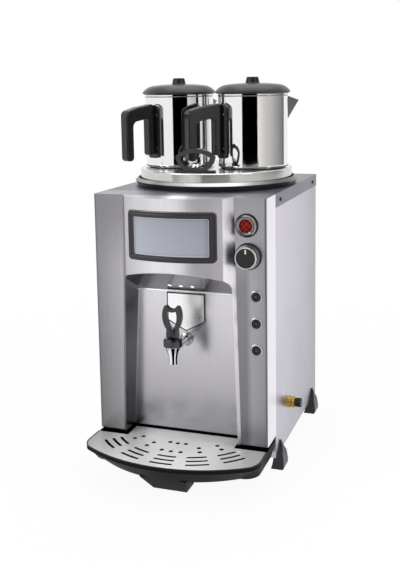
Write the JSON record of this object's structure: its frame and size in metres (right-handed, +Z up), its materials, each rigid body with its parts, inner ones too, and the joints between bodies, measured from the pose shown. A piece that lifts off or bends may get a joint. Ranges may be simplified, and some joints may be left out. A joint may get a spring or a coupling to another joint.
{
  "type": "hot water urn",
  "caption": "Steel hot water urn with a lever tap in a lit alcove, thermostat dial, display, drip tray, lift-off tank cover and teapots keeping warm on top",
  "frame": {"origin": "middle of the overall box, on the floor plane under the feet", "axes": "+Z up, +Y towards the back, +X to the right of someone facing the tap"},
  "size_m": [0.396, 0.615, 0.7997],
  "materials": {
    "fascia_steel": "satin brushed stainless sheet",
    "panel_steel": "satin stainless sheet, slightly violet",
    "polished_steel": "polished stainless",
    "screw_steel": "dark plated steel",
    "tank_steel": "mill finish stainless",
    "collar_steel": "dark satin steel",
    "chrome_plate": "bright chrome",
    "brass_fitting": "bare brass",
    "black_plastic": "black moulded plastic",
    "dark_plastic": "dark gloss plastic",
    "lid_grey": "dark grey coated steel",
    "red_plastic": "translucent red cap",
    "white_plastic": "white moulding",
    "display_silver": "silver screen",
    "plate_steel": "satin stainless sheet",
    "rubber_seal": "silicone seal",
    "jacket_felt": "insulating felt",
    "bakelite": "phenolic moulding",
    "shaft_steel": "bright steel"
  },
  "bodies": {
    "cabinet": {"base_pan": "panel_steel", "side_panel_left": "panel_steel", "side_panel_right": "panel_steel", "back_panel": "panel_steel", "top_panel": "panel_steel", "cabinet_screws": "screw_steel", "corner_feet": "black_plastic", "fascia": "fascia_steel", "alcove_liner": "fascia_steel", "display_bezel": "dark_plastic", "display_panel": "display_silver", "lamp_lenses": "white_plastic", "shield_plate": "polished_steel", "switch_gasket": "black_plastic", "switch_housing": "chrome_plate", "thermostat_body": "white_plastic", "button_rings": "chrome_plate", "tap_body": "chrome_plate", "tap_rosette": "chrome_plate", "tap_nuts": "brass_fitting", "tap_bonnet": "chrome_plate", "tap_spring": "tank_steel", "tank": "tank_steel", "tank_jacket": "jacket_felt", "limit_thermostat": "bakelite", "collar_gasket": "rubber_seal", "tank_collar": "collar_steel", "drain_valve": "brass_fitting", "drain_pipe": "tank_steel", "heating_element": "tank_steel", "terminal_block": "white_plastic", "cable_gland": "black_plastic"},
    "stem": {"tap_stem": "tank_steel", "seat_cup": "rubber_seal"},
    "lever": {"tap_lever": "black_plastic", "lever_pin": "tank_steel"},
    "dial": {"thermostat_knob": "dark_plastic", "knob_rim": "chrome_plate", "knob_pointer": "white_plastic", "thermostat_shaft": "shaft_steel"},
    "power": {"power_button": "red_plastic"},
    "button_1": {"push_button_1": "dark_plastic"},
    "button_2": {"push_button_2": "dark_plastic"},
    "button_3": {"push_button_3": "dark_plastic"},
    "tray": {"drip_tray": "black_plastic"},
    "plate": {"drip_plate": "plate_steel"},
    "cover": {"steam_lid": "polished_steel", "handle_base": "black_plastic", "lid_handle": "black_plastic", "handle_nut": "chrome_plate"},
    "left_pot": {"pot_left": "polished_steel", "pot_left_handle": "black_plastic"},
    "left_pot_lid": {"pot_left_lid": "lid_grey", "pot_left_knob": "dark_plastic"},
    "right_pot": {"pot_right": "polished_steel", "pot_right_handle": "black_plastic"},
    "right_pot_lid": {"pot_right_lid": "lid_grey", "pot_right_knob": "dark_plastic"},
    "cap": {"drain_cap": "black_plastic"}
  },
  "joints": [
    {"name": "stem_lift", "type": "slide", "parent": "cabinet", "child": "stem", "axis": [0, 0, 1], "range_m": [0, 0.0026], "stiffness_N_per_m": 300, "springref_m": -0.004, "deforming": ["tap_spring"]},
    {"name": "lever_tilt", "type": "hinge", "parent": "stem", "child": "lever", "pos_m": [-0.007, -0.2075, 0.305], "axis": [1, 0, 0], "range_deg": [0, 28]},
    {"name": "dial_turn", "type": "hinge", "parent": "cabinet", "child": "dial", "pos_m": [0.1362, -0.1705, 0.459], "axis": [0, 1, 0], "range_deg": [0, 270]},
    {"name": "power_press", "type": "slide", "parent": "cabinet", "child": "power", "axis": [0, 1, 0], "range_m": [0, 0.0025], "stiffness_N_per_m": 300, "springref_m": -0.003},
    {"name": "button_1_press", "type": "slide", "parent": "cabinet", "child": "button_1", "axis": [0, 1, 0], "range_m": [0, 0.0015], "stiffness_N_per_m": 300, "springref_m": -0.003},
    {"name": "button_2_press", "type": "slide", "parent": "cabinet", "child": "button_2", "axis": [0, 1, 0], "range_m": [0, 0.0015], "stiffness_N_per_m": 300, "springref_m": -0.003},
    {"name": "button_3_press", "type": "slide", "parent": "cabinet", "child": "button_3", "axis": [0, 1, 0], "range_m": [0, 0.0015], "stiffness_N_per_m": 300, "springref_m": -0.003},
    {"name": "tray_pull", "type": "slide", "parent": "cabinet", "child": "tray", "axis": [0, -1, 0], "range_m": [0, 0.2]},
    {"name": "plate_lift", "type": "slide", "parent": "tray", "child": "plate", "axis": [0, 0, 1], "range_m": [0, 0.06]},
    {"name": "cover_lift", "type": "slide", "parent": "cabinet", "child": "cover", "axis": [0, 0, 1], "range_m": [0, 0.12]},
    {"name": "left_pot_lift", "type": "slide", "parent": "cover", "child": "left_pot", "axis": [0, 0, 1], "range_m": [0, 0.2]},
    {"name": "left_lid_lift", "type": "slide", "parent": "left_pot", "child": "left_pot_lid", "axis": [0, 0, 1], "range_m": [0, 0.1]},
    {"name": "right_pot_lift", "type": "slide", "parent": "cover", "child": "right_pot", "axis": [0, 0, 1], "range_m": [0, 0.2]},
    {"name": "right_lid_lift", "type": "slide", "parent": "right_pot", "child": "right_pot_lid", "axis": [0, 0, 1], "range_m": [0, 0.1]},
    {"name": "cap_pull", "type": "slide", "parent": "cabinet", "child": "cap", "axis": [1, 0, 0], "range_m": [0, 0.03]}
  ],
  "couplings": [
    {"joint": "lever_tilt", "follows": "stem_lift", "rad_per_m": 187.9}
  ]
}
